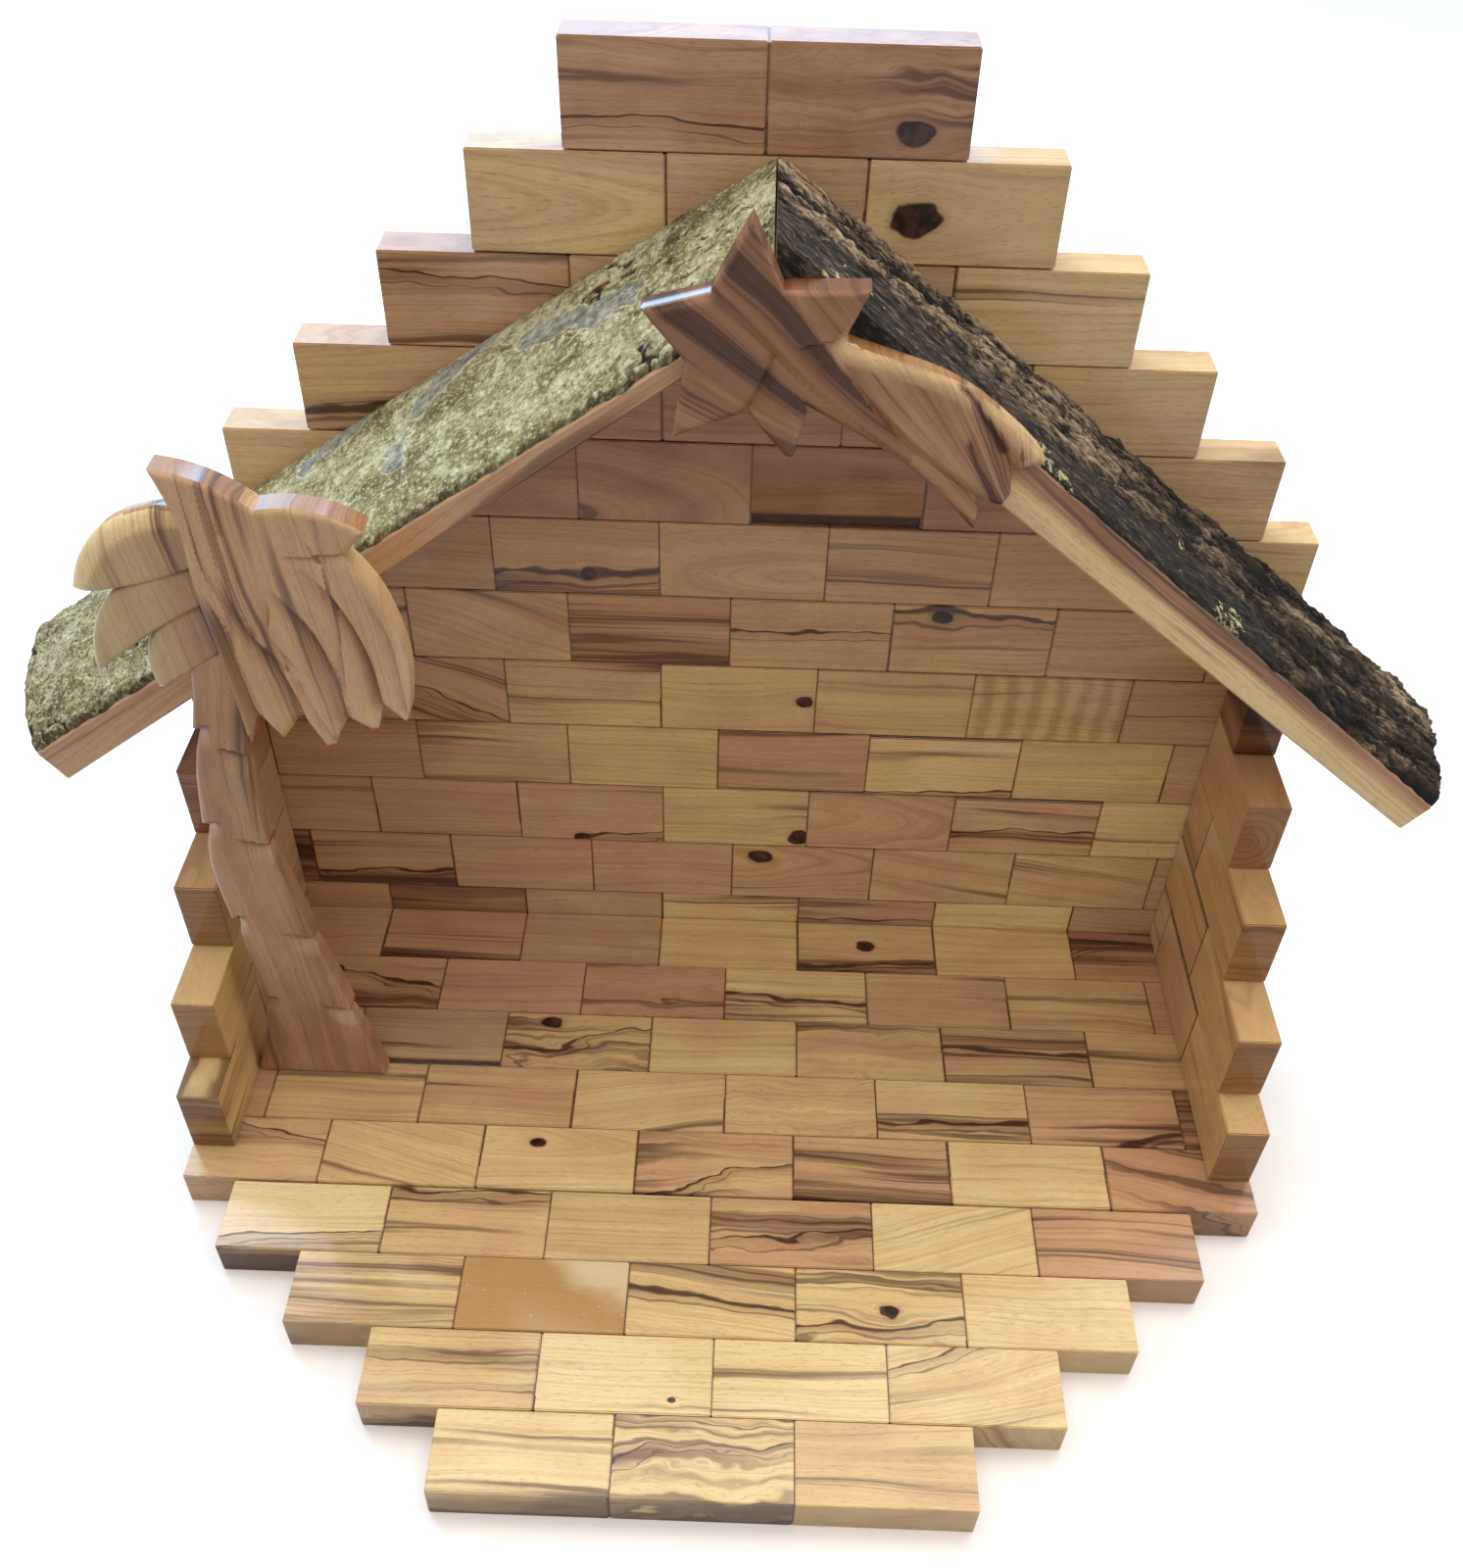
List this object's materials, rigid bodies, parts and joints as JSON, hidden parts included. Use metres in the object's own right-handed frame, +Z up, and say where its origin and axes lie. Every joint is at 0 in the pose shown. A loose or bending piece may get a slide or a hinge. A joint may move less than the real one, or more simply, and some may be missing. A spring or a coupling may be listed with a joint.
{
  "type": "wooden nativity stable",
  "caption": "Open-fronted stable of small glued hardwood bricks with a stepped gable and apron, a bark-covered pitched roof, a carved palm tree and a carved comet.",
  "frame": {"origin": "middle of the floor's underside, on the surface that the stable stands on", "axes": "+X to the right along the back wall, +Y from the open front to the back wall, +Z up"},
  "size_m": [0.3512, 0.191, 0.2398],
  "materials": {
    "wall_brick": "satin lacquered hardwood with dark heart streaks",
    "side_brick": "satin lacquered hardwood, end grain at the front",
    "floor_brick": "satin lacquered hardwood with dark heart streaks",
    "apron_brick": "satin lacquered pale hardwood with dark streaks",
    "slab_wood": "sawn hardwood, thinly lacquered",
    "lichen_bark": "matte grey-green bark with pale lichen",
    "furrowed_bark": "rough, almost black furrowed bark",
    "palm_wood": "carved hardwood, satin lacquer",
    "comet_wood": "carved hardwood, satin lacquer"
  },
  "bodies": {
    "root": {"apron_course_1": "apron_brick", "apron_course_2": "apron_brick", "apron_course_3": "apron_brick", "apron_course_4": "apron_brick", "back_wall_course_01": "wall_brick", "back_wall_course_02": "wall_brick", "back_wall_course_03": "wall_brick", "back_wall_course_04": "wall_brick", "back_wall_course_05": "wall_brick", "back_wall_course_06": "wall_brick", "back_wall_course_07": "wall_brick", "back_wall_course_08": "wall_brick", "back_wall_course_09": "wall_brick", "back_wall_course_10": "wall_brick", "back_wall_course_11": "wall_brick", "back_wall_course_12": "wall_brick", "comet_star": "comet_wood", "floor_course_1": "floor_brick", "floor_course_2": "floor_brick", "floor_course_3": "floor_brick", "floor_course_4": "floor_brick", "floor_course_5": "floor_brick", "left_wall_course_1": "side_brick", "left_wall_course_2": "side_brick", "left_wall_course_3": "side_brick", "left_wall_course_4": "side_brick", "left_wall_course_5": "side_brick", "palm_tree": "palm_wood", "right_wall_course_1": "side_brick", "right_wall_course_2": "side_brick", "right_wall_course_3": "side_brick", "right_wall_course_4": "side_brick", "right_wall_course_5": "side_brick", "roof_left_bark": "lichen_bark", "roof_left_slab": "slab_wood", "roof_right_bark": "furrowed_bark", "roof_right_slab": "slab_wood"}
  },
  "joints": []
}
